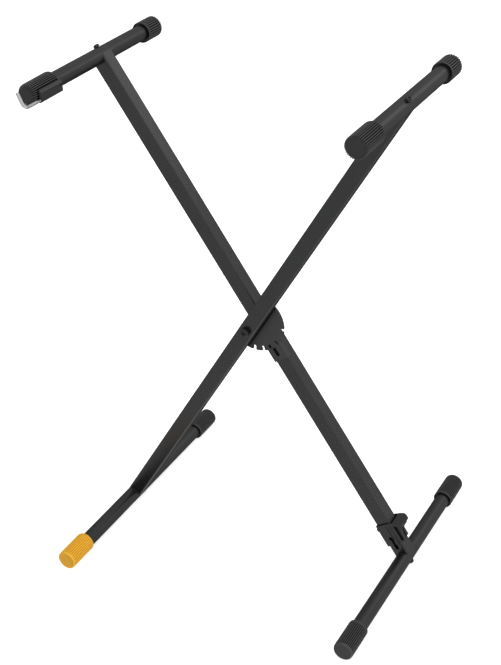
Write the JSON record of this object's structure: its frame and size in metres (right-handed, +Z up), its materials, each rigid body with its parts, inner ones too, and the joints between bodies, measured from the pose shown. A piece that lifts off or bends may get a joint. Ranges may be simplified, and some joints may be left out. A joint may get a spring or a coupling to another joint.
{
  "type": "keyboard stand",
  "caption": "Folding single-brace X keyboard stand: crossed square steel legs, round arms and base bars with ribbed rubber caps, a notched lock plate with a foot release, and a levelling foot.",
  "frame": {"origin": "on the floor, under the middle of the stand, below the pivot", "axes": "+Z up; +Y to the back, along the arms and base bars; +X to the right seen from the front, across the two legs"},
  "size_m": [0.5672, 0.4968, 0.8661],
  "materials": {
    "leg_coat": "satin black powder coat",
    "bar_coat": "satin black powder coat on round tube",
    "plate_coat": "satin black powder coat on flat steel",
    "cap_rubber": "semi-matt black ribbed rubber",
    "foot_rubber": "semi-matt yellow ribbed rubber",
    "screw_black": "black oxide",
    "bright_steel": "bright plated",
    "zinc_steel": "zinc plated",
    "moulded_black": "fine-grained moulded black",
    "nylon": "natural nylon"
  },
  "bodies": {
    "front_frame": {"front_leg_tube": "leg_coat", "front_pivot_sleeve": "zinc_steel", "plate_spacer": "plate_coat", "lock_plate": "plate_coat", "pivot_bolt": "zinc_steel", "pivot_washer": "nylon", "pivot_rear_washer": "zinc_steel", "pivot_lock_nut": "zinc_steel", "front_leg_top_insert": "zinc_steel", "front_leg_base_insert": "zinc_steel", "right_arm_tube": "bar_coat", "right_arm_cap_near": "cap_rubber", "right_arm_cap_far": "cap_rubber", "right_arm_screw": "screw_black", "left_base_tube": "bar_coat", "left_base_cap_far": "cap_rubber", "left_base_screw": "screw_black"},
    "rear_frame": {"rear_leg_tube": "leg_coat", "rear_pivot_bush": "nylon", "lock_guide_bracket": "plate_coat", "rod_guide": "nylon", "return_spring": "zinc_steel", "rear_leg_top_insert": "zinc_steel", "rear_leg_base_insert": "zinc_steel", "left_arm_tube": "bar_coat", "left_arm_cap_near": "cap_rubber", "left_arm_cap_far": "cap_rubber", "left_arm_screw": "screw_black", "key_clip": "moulded_black", "key_clip_screw": "screw_black", "right_base_tube": "bar_coat", "right_base_cap_near": "cap_rubber", "right_base_cap_far": "cap_rubber", "right_base_screw": "screw_black"},
    "foot_release": {"foot_pedal": "moulded_black", "pedal_cross_pin": "screw_black", "pull_rod": "zinc_steel", "pin_carriage": "nylon", "lock_pin": "bright_steel"},
    "level_foot": {"level_foot_cap": "foot_rubber"},
    "hex_key": {"hex_key": "bright_steel"}
  },
  "joints": [
    {"name": "main_fold", "type": "hinge", "parent": "front_frame", "child": "rear_frame", "pos_m": [0, 0, 0.43078], "axis": [0, 1, 0], "range_deg": [-52.9, 59.8]},
    {"name": "pedal_release", "type": "slide", "parent": "rear_frame", "child": "foot_release", "axis": [0.5378, 0, -0.8431], "range_m": [0, 0.012], "stiffness_N_per_m": 1500, "springref_m": -0.006, "deforming": ["return_spring"]},
    {"name": "foot_turn", "type": "hinge", "parent": "front_frame", "child": "level_foot", "pos_m": [-0.26398, -0.218, 0.0169], "axis": [0, 1, 0], "range_deg": [-90, 90]},
    {"name": "key_pull", "type": "slide", "parent": "rear_frame", "child": "hex_key", "axis": [0, -1, 0], "range_m": [0, 0.045]}
  ]
}
